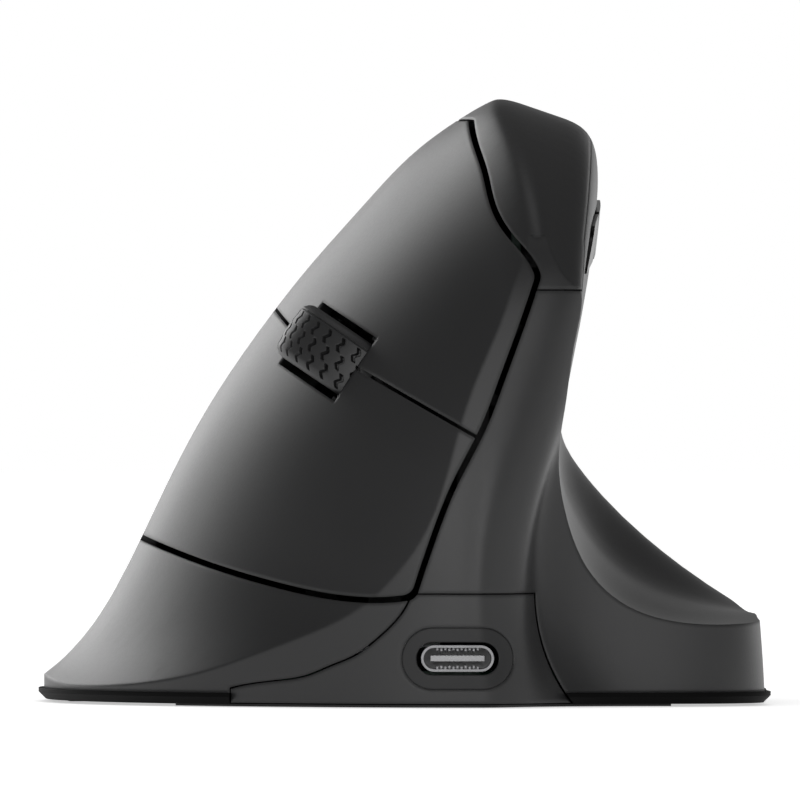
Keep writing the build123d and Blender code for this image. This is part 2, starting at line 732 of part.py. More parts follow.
# Finger buttons with their hinge lugs
for name, side, lugs in (("index_button", 1, INDEX_LUGS), ("middle_button", -1, MIDDLE_LUGS)):
    piece = (buttons & split_region(side)) - slot - wheel_room
    for u in lugs:
        half = LUG_WIDTH / 2
        low = -(PIN_DEPTH + LUG_HALF)
        lug = block(FACE, u - half, u + half, PIN_Y - LUG_HALF, PIN_Y + LUG_HALF, low, OVERRUN)
        piece += lug & middle_skin
    piece -= rod(FACE, 0, PIN_Y, -PIN_DEPTH, PIN_RADIUS + FIT, PIN_HALF + OVERRUN)
    save(name, piece)

# Nose panel and its charging socket
nose_back = y_at(NOSE_BACK_SHARE)
nose = rest & through(nose_outline(0.0), CUT_FRONT, nose_back)
nose_zone = through(nose_outline(SEAM_GAP), CUT_FRONT, nose_back + SEAM_GAP)
nose_front = y_at(NOSE_LEVEL_SHARES[1][1])
nose -= pill(TRIM[0] + FIT * 2, TRIM[1] + FIT * 2, CUT_FRONT, nose_back)
save("nose_panel", nose)
trim = outer & pill(TRIM[0], TRIM[1], CUT_FRONT, nose_front + TRIM_DEPTH)
trim -= pill(PORT_OPENING[0], PORT_OPENING[1], CUT_FRONT, nose_back)
save("port_trim", trim)
socket_front = nose_front + SOCKET_RECESS
socket_back = socket_front + SOCKET_LENGTH
socket = pill(SOCKET[0], SOCKET[1], socket_front, socket_back)
cavity = (SOCKET[0] - SOCKET_WALL * 2, SOCKET[1] - SOCKET_WALL * 2)
socket -= pill(cavity[0], cavity[1], CUT_FRONT, socket_back - SOCKET_WALL)
save("usb_shell", socket)
port_x = x_at(PORT_X_SHARE)
tongue = bar(
    port_x - TONGUE[0] / 2,
    port_x + TONGUE[0] / 2,
    socket_front + TONGUE_RECESS,
    socket_back - SOCKET_WALL,
    PORT_Z - TONGUE[1] / 2,
    PORT_Z + TONGUE[1] / 2,
)
root = pill(cavity[0], cavity[1], socket_back - SOCKET_WALL - TONGUE_ROOT, socket_back - SOCKET_WALL)
save("usb_tongue", tongue + root)

# Palm shell and thumb shell
rest = (rest - nose_zone) & slab(PLATE_TOP, CUT_TOP)
screws = [(x_at(x), y_at(y)) for x, y in SCREW_SHARES]
bosses = [post(x, y, BOSS_RADIUS, PLATE_TOP, HEIGHT) & middle_skin for x, y in screws]
palm = rest - thumb_region(SEAM_GAP)
thumb = rest & thumb_region(0.0)
side_button_cut = side_strip(0.0, 1.0, SIDE_GAP)
thumb -= side_button_cut
for (x, y), boss in zip(screws, bosses):
    if x < 0:
        palm += boss
    else:
        thumb += boss
screw_top = PLATE_BOTTOM + SCREW_HEAD_HEIGHT + SCREW_LENGTH
for x, y in screws:
    hole = post(x, y, SCREW_RADIUS + FIT, 0, screw_top + SEAM_GAP)
    if x < 0:
        palm -= hole
    else:
        thumb -= hole
save("palm_shell", palm)
save("thumb_shell", thumb)

# Thumb buttons
proud_skin = skin(-SIDE_PROUD)
deep_skin = skin(WALL)
switch_right = x_at(SIDE_SWITCH_RIGHT_SHARE)
stem_left = switch_right + FIT + SIDE_TRAVEL
front_y, back_y = y_at(SIDE_FRONT_SHARES[0]), y_at(SIDE_BACK_SHARES[0])
front_z, back_z = z_at(SIDE_FRONT_SHARES[1]), z_at(SIDE_BACK_SHARES[1])
split_share = SIDE_SPLIT / 2 / math.dist((front_y, front_z), (back_y, back_z))
stems = []
for name, low, high in (
    ("forward_button", 0.0, 0.5 - split_share),
    ("back_button", 0.5 + split_share, 1.0),
):
    piece = (proud_skin & side_strip(low, high, 0.0)) - deep_skin
    y = mix(front_y, back_y, (low + high) / 2)
    z = mix(front_z, back_z, (low + high) / 2)
    stems.append((y, z))
    reach = bar(
        stem_left,
        CUT_SIDE,
        y - SIDE_STEM[0] / 2,
        y + SIDE_STEM[0] / 2,
        z - SIDE_STEM[1] / 2,
        z + SIDE_STEM[1] / 2,
    )
    piece += reach & middle_skin
    save(name, piece)

# Scroll wheel
tyre = Cylinder(WHEEL_RADIUS, WHEEL_WIDTH)
tyre = fillet(tyre.edges().filter_by(GeomType.CIRCLE), TYRE_ROUND)
tyre -= Cylinder(HUB_RADIUS, WHEEL_WIDTH + OVERRUN)
hub = Cylinder(HUB_RADIUS - FIT, HUB_WIDTH) - Cylinder(AXLE_RADIUS + FIT, WHEEL_WIDTH)
turn = WHEEL * Rot(0, 90, 0)
save("wheel_tyre", turn * tyre)
save("wheel_hub", turn * hub)
axle_end = FORK_OUTER + ENCODER[0] / 2
axle_low = -(FORK_OUTER - FIT)
axle = Cylinder(AXLE_RADIUS, axle_end - axle_low)
save("wheel_axle", WHEEL * Pos((axle_end + axle_low) / 2, 0, 0) * Rot(0, 90, 0) * axle)

# Cradle, encoder and the switch that the pressed wheel works
cradle = block(
    WHEEL, -FORK_OUTER, FORK_OUTER, -FORK_LENGTH / 2, FORK_LENGTH / 2, FORK_BOTTOM, FORK_TOP
)
cradle -= block(
    WHEEL,
    -FORK_INNER,
    FORK_INNER,
    -FORK_LENGTH,
    FORK_LENGTH,
    FORK_BOTTOM + FORK_FLOOR,
    FORK_TOP + OVERRUN,
)
cradle -= rod(WHEEL, 0, 0, 0, AXLE_RADIUS + FIT, FORK_OUTER + OVERRUN)
save("wheel_cradle", cradle)
encoder = block(
    WHEEL,
    FORK_OUTER,
    FORK_OUTER + ENCODER[0],
    -ENCODER[1] / 2,
    ENCODER[1] / 2,
    -ENCODER[2] / 2,
    ENCODER[2] / 2,
)
encoder -= rod(WHEEL, 0, 0, 0, AXLE_RADIUS + FIT, axle_end + FIT)
save("scroll_encoder", encoder)
half = WHEEL_SWITCH[0] / 2
click = block(
    WHEEL,
    -half,
    half,
    -WHEEL_SWITCH[1] / 2,
    WHEEL_SWITCH[1] / 2,
    STIRRUP_SEAT,
    STIRRUP_SEAT + WHEEL_SWITCH[2],
)
click += WHEEL * Pos(0, 0, PLUNGER_TOP - PLUNGER_HEIGHT) * Cylinder(
    WHEEL_PLUNGER_RADIUS, PLUNGER_HEIGHT * 2
)
save("wheel_switch", click)

# Button frame: a tilted plate on three legs, with pin posts, the stirrup and two arms
frame = block(FRAME, FRAME_LOW, FRAME_HIGH, FRAME_FRONT, FRAME_BACK, -FRAME_THICKNESS, 0)
stirrup = block(
    WHEEL,
    -STIRRUP_OUTER,
    STIRRUP_OUTER,
    -STIRRUP_LENGTH / 2,
    STIRRUP_LENGTH / 2,
    STIRRUP_SEAT - STIRRUP_FLOOR,
    0,
)
above = block(FRAME, -LENGTH, LENGTH, -LENGTH, LENGTH, 0, LENGTH)
frame -= block(
    WHEEL,
    -STIRRUP_INNER,
    STIRRUP_INNER,
    -FRAME_SLOT_HALF,
    FRAME_SLOT_HALF,
    -LENGTH,
    LENGTH,
)
stirrup -= block(
    WHEEL,
    -STIRRUP_INNER,
    STIRRUP_INNER,
    -LENGTH,
    LENGTH,
    STIRRUP_SEAT,
    LENGTH,
)
frame += stirrup - above
below = block(FRAME, -LENGTH, LENGTH, -LENGTH, LENGTH, -LENGTH, -FRAME_THICKNESS / 2)
legs = [(x_at(x), y_at(y)) for x, y in LEG_SHARES]
for x, y in legs:
    side = LEG_SIDE / 2
    frame += bar(x - side, x + side, y - side, y + side, PLATE_TOP, HEIGHT) & below
for u in FRAME_POSTS:
    half = LUG_WIDTH / 2
    frame += block(
        FACE,
        u - half,
        u + half,
        PIN_Y - LUG_HALF,
        PIN_Y + LUG_HALF,
        -(FRAME_DEPTH + FRAME_THICKNESS / 2),
        -(PIN_DEPTH - LUG_HALF),
    )
frame -= rod(FACE, 0, PIN_Y, -PIN_DEPTH, PIN_RADIUS + FIT, PIN_HALF + OVERRUN)
board_right = switch_right - SIDE_SWITCH[0]
board_left = board_right - SIDE_BOARD_THICKNESS
for y_share, z_share, x_share in ARM_SHARES:
    y, z = y_at(y_share), z_at(z_share)
    frame += bar(
        x_at(x_share),
        board_left,
        y - ARM_WIDTH / 2,
        y + ARM_WIDTH / 2,
        z - ARM_HEIGHT / 2,
        z + ARM_HEIGHT / 2,
    )
save("button_frame", frame)
save("hinge_pin", rod(FACE, 0, PIN_Y, -PIN_DEPTH, PIN_RADIUS, PIN_HALF))
for name, u in zip(("index_switch", "middle_switch"), KEY_SWITCH_U):
    half = KEY_SWITCH[0] / 2
    low, high = KEY_SWITCH_V - KEY_SWITCH[1] / 2, KEY_SWITCH_V + KEY_SWITCH[1] / 2
    piece = block(FRAME, u - half, u + half, low, high, 0, KEY_SWITCH[2])
    v = KEY_SWITCH_V + KEY_PLUNGER_SHIFT
    piece += block(
        FRAME,
        u - KEY_PLUNGER[0] / 2,
        u + KEY_PLUNGER[0] / 2,
        v - KEY_PLUNGER[1] / 2,
        v + KEY_PLUNGER[1] / 2,
        0,
        KEY_SWITCH[2] + KEY_PLUNGER[2],
    )
    save(name, piece)

# Side board with the thumb buttons' switches
side_switches = []
for y, z in stems:
    side_switches.append(
        bar(
            board_right,
            switch_right,
            y - SIDE_SWITCH[1] / 2,
            y + SIDE_SWITCH[1] / 2,
            z - SIDE_SWITCH[2] / 2,
            z + SIDE_SWITCH[2] / 2,
        )
    )
save("side_switches", Compound(children=side_switches))
half = SIDE_SWITCH[1] / 2 + SIDE_BOARD_MARGIN
save(
    "side_board",
    bar(
        board_left,
        board_right,
        stems[0][0] - half,
        stems[1][0] + half,
        stems[0][1] - half,
        stems[1][1] + half / 2,
    ),
)

# Main board on its standoffs
standoffs = [(x_at(x), y_at(y)) for x, y in STANDOFF_SHARES]
board = plan_block(BOARD_INSET, BOARD_BOTTOM, BOARD_TOP)
board &= bar(
    x_at(BOARD_LEFT_SHARE), x_at(BOARD_RIGHT_SHARE), CUT_FRONT, y_at(BOARD_BACK_SHARE), 0, HEIGHT
)
for x, y in legs:
    side = LEG_SIDE / 2 + LEG_CLEARANCE
    board -= bar(x - side, x + side, y - side, y + side, 0, HEIGHT)
sensor_x, sensor_y = x_at(SENSOR_X_SHARE), y_at(SENSOR_Y_SHARE)
save("main_board", board)
chip = bar(
    sensor_x - SENSOR[0] / 2,
    sensor_x + SENSOR[0] / 2,
    sensor_y - SENSOR[1] / 2,
    sensor_y + SENSOR[1] / 2,
    BOARD_TOP,
    BOARD_TOP + SENSOR[2],
)
save("optical_sensor", chip)
lens = bar(
    sensor_x - LENS[0] / 2,
    sensor_x + LENS[0] / 2,
    sensor_y - LENS[1] / 2,
    sensor_y + LENS[1] / 2,
    PLATE_TOP,
    BOARD_BOTTOM,
)
lens += bar(
    sensor_x - WINDOW[0] / 2 + FIT,
    sensor_x + WINDOW[0] / 2 - FIT,
    sensor_y - WINDOW[1] / 2 + FIT,
    sensor_y + WINDOW[1] / 2 - FIT,
    PLATE_BOTTOM + LENS_DROP,
    PLATE_TOP,
)
save("sensor_lens", lens)

# Battery and tray
battery_x, battery_y = x_at(BATTERY_X_SHARE), y_at(BATTERY_Y_SHARE)
half_x, half_y = BATTERY[0] / 2, BATTERY[1] / 2
edge = BATTERY_GAP + TRAY_WALL
tray = bar(
    battery_x - half_x - edge,
    battery_x + half_x + edge,
    battery_y - half_y - edge,
    battery_y + half_y + edge,
    PLATE_TOP,
    PLATE_TOP + TRAY_HEIGHT,
)
tray -= bar(
    battery_x - half_x - BATTERY_GAP,
    battery_x + half_x + BATTERY_GAP,
    battery_y - half_y - BATTERY_GAP,
    battery_y + half_y + BATTERY_GAP,
    PLATE_TOP + TRAY_FLOOR,
    HEIGHT,
)
save("battery_tray", tray)
battery = bar(
    battery_x - half_x,
    battery_x + half_x,
    battery_y - half_y,
    battery_y + half_y,
    PLATE_TOP + TRAY_FLOOR,
    PLATE_TOP + TRAY_FLOOR + BATTERY[2],
)
save("battery", fillet(battery.edges().filter_by(Axis.X), BATTERY[2] / 4))

# Base plate with its windows, pockets and standoffs
plate = plan_block(-PLATE_OVERHANG, PLATE_BOTTOM, PLATE_TOP)
plate = chamfer(plate.edges().group_by(Axis.Z)[0], PLATE_CHAMFER)
wall_zone = nose_zone - plan_block(WALL + NOSE_ROOM, -OVERRUN, HEIGHT)
plate -= wall_zone
for x, y in standoffs:
    plate += post(x, y, STANDOFF_RADIUS, PLATE_TOP - FIT, BOARD_BOTTOM)
plate -= bar(
    sensor_x - WINDOW[0] / 2,
    sensor_x + WINDOW[0] / 2,
    sensor_y - WINDOW[1] / 2,
    sensor_y + WINDOW[1] / 2,
    0,
    HEIGHT,
)
for x, y in screws:
    plate -= post(x, y, SCREW_RADIUS + FIT, 0, HEIGHT)
    plate -= post(x, y, SCREW_HEAD_RADIUS + FIT, 0, PLATE_BOTTOM + SCREW_HEAD_HEIGHT)
band = plan_face(SKATE_INSET, 0) - plan_face(SKATE_INSET + SKATE_WIDTH, 0)
pocket = plan_face(SKATE_INSET - SKATE_GAP, 0) - plan_face(
    SKATE_INSET + SKATE_WIDTH + SKATE_GAP, 0
)
skate_front = y_at(SKATE_FRONT_SHARE)
side_low, side_high = (y_at(share) for share in SKATE_SIDE_SHARES)
zones = {
    "skate_front": (-CUT_SIDE, x_at(SKATE_FRONT_RIGHT_SHARE), CUT_FRONT, skate_front),
    "skate_sides": (-CUT_SIDE, CUT_SIDE, side_low, side_high),
    "skate_rear": (-CUT_SIDE, CUT_SIDE, y_at(SKATE_REAR_SHARE), CUT_BACK),
}
for name, (x_low, x_high, y_low, y_high) in zones.items():
    skate = extrude(band, amount=SKATE_THICKNESS, dir=(0, 0, 1))
    skate &= bar(x_low, x_high, y_low, y_high, -OVERRUN, OVERRUN)
    room = extrude(pocket, amount=SKATE_THICKNESS, dir=(0, 0, 1))
    room &= bar(
        x_low - SKATE_GAP,
        x_high + SKATE_GAP,
        y_low - SKATE_GAP,
        y_high + SKATE_GAP,
        -OVERRUN,
        OVERRUN,
    )
    plate -= room
    save(name, Compound(children=list(skate.solids())))

# Power slider and pairing button, with their switches above them
power_x, power_y = x_at(POWER_X_SHARE), y_at(POWER_Y_SHARE)
knob_low = power_x - KNOB[0] / 2
knob_high = power_x + KNOB[0] / 2
room = KNOB_GAP
plate -= bar(
    knob_low - room,
    knob_high + KNOB_TRAVEL + room,
    power_y - KNOB[1] / 2 - room,
    power_y + KNOB[1] / 2 + room,
    0,
    HEIGHT,
)
knob = bar(
    knob_low,
    knob_high,
    power_y - KNOB[1] / 2,
    power_y + KNOB[1] / 2,
    PLATE_BOTTOM + KNOB_RECESS,
    PLATE_TOP + FLANGE_GAP,
)
knob += bar(
    knob_low - FLANGE_LIP,
    knob_high + FLANGE_LIP,
    power_y - KNOB[1] / 2 - FLANGE_LIP,
    power_y + KNOB[1] / 2 + FLANGE_LIP,
    PLATE_TOP + FLANGE_GAP,
    PLATE_TOP + FLANGE_GAP + FLANGE_THICKNESS,
)
save("power_slider", knob)
lip = FLANGE_LIP + KNOB_GAP
pocket_top = PLATE_TOP + FLANGE_THICKNESS + FLANGE_GAP * 2
body = bar(
    knob_low - lip - POWER_WALL,
    knob_high + KNOB_TRAVEL + lip + POWER_WALL,
    power_y - KNOB[1] / 2 - lip - POWER_WALL,
    power_y + KNOB[1] / 2 + lip + POWER_WALL,
    PLATE_TOP,
    PLATE_TOP + POWER_HEIGHT,
)
body -= bar(
    knob_low - lip,
    knob_high + KNOB_TRAVEL + lip,
    power_y - KNOB[1] / 2 - lip,
    power_y + KNOB[1] / 2 + lip,
    0,
    pocket_top,
)
save("power_switch", body)
pair_x, pair_y = x_at(PAIR_X_SHARE), y_at(PAIR_Y_SHARE)
plate -= post(pair_x, pair_y, PAIR_RADIUS + KNOB_GAP, 0, HEIGHT)
flange_top = PLATE_TOP + FLANGE_GAP + FLANGE_THICKNESS
cap = post(pair_x, pair_y, PAIR_RADIUS, PLATE_BOTTOM + KNOB_RECESS, flange_top)
cap += post(pair_x, pair_y, PAIR_RADIUS + FLANGE_LIP, PLATE_TOP + FLANGE_GAP, flange_top)
save("pairing_button", cap)
half = PAIR_RADIUS + lip + POWER_WALL
body = bar(
    pair_x - half, pair_x + half, pair_y - half, pair_y + half, PLATE_TOP, PLATE_TOP + PAIR_HEIGHT
)
body -= post(pair_x, pair_y, PAIR_RADIUS + lip, 0, flange_top + PAIR_TRAVEL + FIT)
save("pairing_switch", body)
save("base_plate", plate)

# Case screws from below
parts = []
for x, y in screws:
    head_top = PLATE_BOTTOM + SCREW_HEAD_HEIGHT
    screw = post(x, y, SCREW_HEAD_RADIUS, PLATE_BOTTOM + KNOB_RECESS, head_top)
    screw += post(x, y, SCREW_RADIUS, PLATE_BOTTOM + KNOB_RECESS, screw_top)
    parts.append(screw)
save("case_screws", Compound(children=parts))
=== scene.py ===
import json
import math

import bmesh
import bpy
from mathutils import Matrix, Vector

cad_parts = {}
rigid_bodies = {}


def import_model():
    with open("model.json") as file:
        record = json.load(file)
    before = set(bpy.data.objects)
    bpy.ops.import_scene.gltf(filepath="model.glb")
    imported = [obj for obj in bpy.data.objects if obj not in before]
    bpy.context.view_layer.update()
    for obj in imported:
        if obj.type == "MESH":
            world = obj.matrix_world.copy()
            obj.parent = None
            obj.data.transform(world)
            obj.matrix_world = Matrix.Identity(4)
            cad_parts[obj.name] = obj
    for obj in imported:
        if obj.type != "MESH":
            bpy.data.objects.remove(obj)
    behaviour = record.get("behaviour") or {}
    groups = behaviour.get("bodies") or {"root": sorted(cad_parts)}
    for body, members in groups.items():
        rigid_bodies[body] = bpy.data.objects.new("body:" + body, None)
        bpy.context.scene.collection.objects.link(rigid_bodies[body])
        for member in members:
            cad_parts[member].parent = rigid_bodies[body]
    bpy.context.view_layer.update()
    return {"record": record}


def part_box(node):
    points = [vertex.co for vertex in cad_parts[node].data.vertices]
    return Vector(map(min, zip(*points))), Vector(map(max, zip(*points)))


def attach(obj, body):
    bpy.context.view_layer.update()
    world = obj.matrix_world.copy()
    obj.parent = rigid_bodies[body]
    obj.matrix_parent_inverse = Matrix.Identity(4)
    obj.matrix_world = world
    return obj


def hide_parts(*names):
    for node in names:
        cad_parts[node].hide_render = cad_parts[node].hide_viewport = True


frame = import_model()

MM = 0.001

# The finger face's slope, and the wheel's place on it
FACE_ANGLE = math.radians(56.0)
ALONG = Vector((math.cos(FACE_ANGLE), 0.0, math.sin(FACE_ANGLE)))
OUT = Vector((-ALONG.z, 0.0, ALONG.x))
JOINTS = {j["name"]: j for j in frame["record"]["behaviour"]["joints"]}
WHEEL_CENTRE = Vector(JOINTS["wheel_spin"]["pos_m"])

# Surface grain: scales in cells of noise to a metre, and the height of the bumps
BROAD_SCALE = 55.0
BROAD_DETAIL = 4.0
FINE_DETAIL = 3.0
FINE_ROUGHNESS = 0.6
GRAIN_HEIGHT = 0.03 * MM
BRUSH_SCALE = 900.0
BRUSH_STRENGTH = 0.15
BRUSH_HEIGHT = 0.02 * MM
BRUSH_GLOSS = (0.8, 1.25)
EDGE_SAMPLES = 4


def new_material(name):
    """An empty material, with its node tree and its shader."""
    material = bpy.data.materials.new(name)
    material.use_nodes = True
    tree = material.node_tree
    return material, tree, tree.nodes["Principled BSDF"]


def new_noise(tree, place, scale, detail):
    """Noise in the object's own space."""
    noise = tree.nodes.new("ShaderNodeTexNoise")
    noise.inputs["Scale"].default_value = scale
    noise.inputs["Detail"].default_value = detail
    tree.links.new(place, noise.inputs["Vector"])
    return noise


def new_range(tree, value, low, high):
    """A value from 0 to 1 spread from low to high."""
    spread = tree.nodes.new("ShaderNodeMapRange")
    spread.inputs["To Min"].default_value = low
    spread.inputs["To Max"].default_value = high
    tree.links.new(value, spread.inputs["Value"])
    return spread


def new_bump(tree, height, strength, distance):
    """Bumps in the shading only, up to the distance high."""
    bump = tree.nodes.new("ShaderNodeBump")
    bump.inputs["Strength"].default_value = strength
    bump.inputs["Distance"].default_value = distance
    tree.links.new(height, bump.inputs["Height"])
    return bump


def moulded(
    name,
    colour,
    roughness,
    grain=0.25,
    grain_scale=2600.0,
    spread=0.04,
    specular=0.5,
    edge=0.15,
    transmission=0.0,
):
    """Moulded plastic or rubber: fine grain, softened edges in mm and slight drift in tone."""
    material, tree, shader = new_material(name)
    nodes, links = tree.nodes, tree.links
    place = nodes.new("ShaderNodeTexCoord").outputs["Object"]
    fine = new_noise(tree, place, grain_scale, FINE_DETAIL)
    fine.inputs["Roughness"].default_value = FINE_ROUGHNESS
    broad = new_noise(tree, place, BROAD_SCALE, BROAD_DETAIL)
    tone = new_range(tree, broad.outputs["Fac"], 1.0 - spread, 1.0 + spread)
    tint = nodes.new("ShaderNodeVectorMath")
    tint.operation = "SCALE"
    tint.inputs[0].default_value = colour
    links.new(tone.outputs["Result"], tint.inputs["Scale"])
    links.new(tint.outputs["Vector"], shader.inputs["Base Color"])
    gloss = new_range(tree, fine.outputs["Fac"], roughness - spread, roughness + spread)
    links.new(gloss.outputs["Result"], shader.inputs["Roughness"])
    bump = new_bump(tree, fine.outputs["Fac"], grain, GRAIN_HEIGHT)
    soft_edge = nodes.new("ShaderNodeBevel")
    soft_edge.samples = EDGE_SAMPLES
    soft_edge.inputs["Radius"].default_value = edge * MM
    links.new(soft_edge.outputs["Normal"], bump.inputs["Normal"])
    links.new(bump.outputs["Normal"], shader.inputs["Normal"])
    shader.inputs["Specular IOR Level"].default_value = specular
    shader.inputs["Transmission Weight"].default_value = transmission
    return material


def brushed(name, colour, roughness, stretch):
    """Drawn or brushed metal, with fine lines along one direction."""
    material, tree, shader = new_material(name)
    nodes, links = tree.nodes, tree.links
    place = nodes.new("ShaderNodeTexCoord")
    mapping = nodes.new("ShaderNodeMapping")
    mapping.inputs["Scale"].default_value = stretch
    links.new(place.outputs["Object"], mapping.inputs["Vector"])
    lines = new_noise(tree, mapping.outputs["Vector"], BRUSH_SCALE, FINE_DETAIL)
    low, high = (roughness * share for share in BRUSH_GLOSS)
    gloss = new_range(tree, lines.outputs["Fac"], low, high)
    links.new(gloss.outputs["Result"], shader.inputs["Roughness"])
    bump = new_bump(tree, lines.outputs["Fac"], BRUSH_STRENGTH, BRUSH_HEIGHT)
    links.new(bump.outputs["Normal"], shader.inputs["Normal"])
    shader.inputs["Base Color"].default_value = (*colour, 1.0)
    shader.inputs["Metallic"].default_value = 1.0
    return material


# Looks by material slot: name, colour and roughness first
MATERIALS = {
    "shell": moulded("shell_grain", (0.017, 0.017, 0.0175), 0.43, specular=0.45, edge=0.7),
    "base": moulded("base_matt", (0.003, 0.003, 0.003), 0.6, specular=0.04),
    "skate": moulded("skate_smooth", (0.008, 0.008, 0.008), 0.35, grain=0.08),
    "trim": moulded(
        "trim_satin", (0.012, 0.012, 0.0125), 0.42, grain=0.12, specular=0.32, edge=0.35
    ),
    "gloss": moulded(
        "gloss_black", (0.003, 0.003, 0.003), 0.28, grain=0.02, spread=0.01, specular=0.12
    ),
    "tyre": moulded(
        "tyre_rubber", (0.016, 0.016, 0.0165), 0.48, grain=0.5, grain_scale=1800.0, edge=0.05
    ),
    "steel": brushed("steel_drawn", (0.20, 0.20, 0.205), 0.40, (1.0, 6.0, 1.0)),
    "tongue": moulded("tongue_plastic", (0.46, 0.46, 0.47), 0.4, grain=0.1),
    "inner_plastic": moulded("inner_plastic", (0.010, 0.010, 0.0105), 0.5),
    "board": moulded("board_green", (0.008, 0.060, 0.030), 0.4, grain=0.15),
    "foil": brushed("cell_foil", (0.60, 0.60, 0.62), 0.36, (1.0, 1.0, 5.0)),
    "lens": moulded(
        "lens_clear", (0.10, 0.10, 0.11), 0.08, grain=0.0, spread=0.0, transmission=0.7
    ),
}

for part in frame["record"]["subparts"]:
    piece = bpy.data.objects[part["node"]]
    piece.data.materials.clear()
    piece.data.materials.append(MATERIALS[part["material_slot"]])

# Edges sharper than this stay crisp on the pieces made below
SHARP_ANGLE = math.radians(45.0)


def add_piece(name, build, slot, body):
    """A mesh piece from a bmesh, smooth but for its sharp edges, riding on a body."""
    mesh = bpy.data.meshes.new(name)
    build.normal_update()
    build.to_mesh(mesh)
    build.free()
    for polygon in mesh.polygons:
        polygon.use_smooth = True
    mesh.set_sharp_from_angle(angle=SHARP_ANGLE)
    piece = bpy.data.objects.new(name, mesh)
    bpy.context.scene.collection.objects.link(piece)
    mesh.materials.append(MATERIALS[slot])
    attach(piece, body)
    return piece


def add_box(build, centre, size):
    """A block added to a bmesh."""
    place = Matrix.Translation(centre) @ Matrix.Diagonal((*size, 1.0))
    bmesh.ops.create_cube(build, size=1.0, matrix=place)


def bridge(build, one, other):
    """Faces between two closed rings of as many points."""
    count = len(one)
    for i in range(count):
        j = (i + 1) % count
        build.faces.new((one[i], one[j], other[j], other[i]))


# Tyre: a ring with rounded shoulders and staggered zigzag grooves across its tread
WHEEL_RADIUS = 11.5 * MM
TYRE_BORE = 8.25 * MM
TYRE_HALF = 3.8 * MM
SHOULDER = 1.3 * MM
TREAD_LOW = -3.3 * MM
TREAD_HIGH = 2.5 * MM
GROOVE_DEPTH = 0.70 * MM
ZIGZAG = 0.11
CROWN = 0.35 * MM
RIM_LINE = 2.75 * MM
RIM_LINE_HALF = 0.09 * MM
RIM_LINE_DEPTH = 0.16 * MM
TREAD_COLUMNS = 3
PITCHES = 30
SWINGS = 1.5
# Shares of a pitch
GROOVE_HALF = 0.075
GROOVE_WALL = 0.04
# Shares of a column
GROOVE_END = 0.03
END_RAMP = 0.06
# Faces round the tyre and across it
AROUND = 960
ACROSS = 76


def ramp(value, start, length):
    """0 up to the start, then rising to 1 over the length."""
    return min(max((value - start) / length, 0.0), 1.0)


def groove_share(across, turn):
    """How deep the tread is at a place, 0 on a block and 1 in a groove."""
    if not TREAD_LOW < across < TREAD_HIGH:
        return 0.0
    column_place = (across - TREAD_LOW) / (TREAD_HIGH - TREAD_LOW) * TREAD_COLUMNS
    column = min(int(column_place), TREAD_COLUMNS - 1)
    inside = column_place - column
    swing = abs((inside * SWINGS) % 1.0 - 0.5) * 4.0 - 1.0
    pitch = turn * PITCHES + 0.5 * (column % 2) + ZIGZAG * swing
    off = abs(pitch - math.floor(pitch) - 0.5)
    groove = 1.0 - ramp(off, GROOVE_HALF, GROOVE_WALL)
    return groove * ramp(min(inside, 1.0 - inside), GROOVE_END, END_RAMP)


def make_tyre():
    """One closed ring, its profile swept round the wheel's axle."""
    build = bmesh.new()
    profile = []
    for step in range(ACROSS + 1):
        across = -TYRE_HALF + 2 * TYRE_HALF * step / ACROSS
        into = max(abs(across) - (TYRE_HALF - SHOULDER), 0.0)
        drop = SHOULDER - math.sqrt(max(SHOULDER**2 - into**2, 0.0))
        drop += CROWN * (across / TYRE_HALF) ** 2
        if abs(across - RIM_LINE) < RIM_LINE_HALF:
            drop += RIM_LINE_DEPTH
        profile.append((across, WHEEL_RADIUS - drop))
    rings = []
    for k in range(AROUND):
        turn = k / AROUND
        angle = 2 * math.pi * turn
        spoke = OUT * math.cos(angle) + Vector((0, 1, 0)) * math.sin(angle)
        ring = []
        for across, radius in profile:
            depth = GROOVE_DEPTH * groove_share(across, turn)
            ring.append(build.verts.new(WHEEL_CENTRE + ALONG * across + spoke * (radius - depth)))
        for across in (TYRE_HALF, -TYRE_HALF):
            ring.append(build.verts.new(WHEEL_CENTRE + ALONG * across + spoke * TYRE_BORE))
        rings.append(ring)
    for k in range(AROUND):
        bridge(build, rings[k], rings[(k + 1) % AROUND])
    bmesh.ops.recalc_face_normals(build, faces=build.faces)
    piece = add_piece("tyre_tread", build, "tyre", "wheel")
    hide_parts("wheel_tyre")


make_tyre()

# Contacts on both faces of the socket's tongue
CONTACTS = 12
CONTACT_PITCH = 0.5 * MM
CONTACT_SIZE = Vector((0.28, 3.6, 0.05)) * MM
CONTACT_DEPTH = 2.3 * MM
CONTACT_OFF = 0.37 * MM
# Stamped springs above and below the tongue, inside the socket's mouth
SPRINGS = 11
SPRING_SIZE = Vector((0.24, 0.9, 0.34)) * MM
SPRING_DEPTH = 0.6 * MM
SPRING_OFF = 1.18 * MM
SPRING_LIFT = 0.10 * MM
tongue_low, tongue_high = (Vector(corner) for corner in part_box("usb_tongue"))
TONGUE_MIDDLE = (tongue_low + tongue_high) / 2


def make_socket_rows(name, count, size, depth, off, lift=0.0):
    """Two rows of blocks, above and below the tongue, every second block nearer by the lift."""
    build = bmesh.new()
    for face in (-1, 1):
        for k in range(count):
            x = TONGUE_MIDDLE.x + (k - (count - 1) / 2) * CONTACT_PITCH
            z = TONGUE_MIDDLE.z + face * (off - lift * (k % 2))
            add_box(build, (x, tongue_low.y + depth, z), size)
    add_piece(name, build, "steel", "case")


make_socket_rows("tongue_contacts", CONTACTS, CONTACT_SIZE, CONTACT_DEPTH, CONTACT_OFF)
make_socket_rows("socket_springs", SPRINGS, SPRING_SIZE, SPRING_DEPTH, SPRING_OFF, SPRING_LIFT)

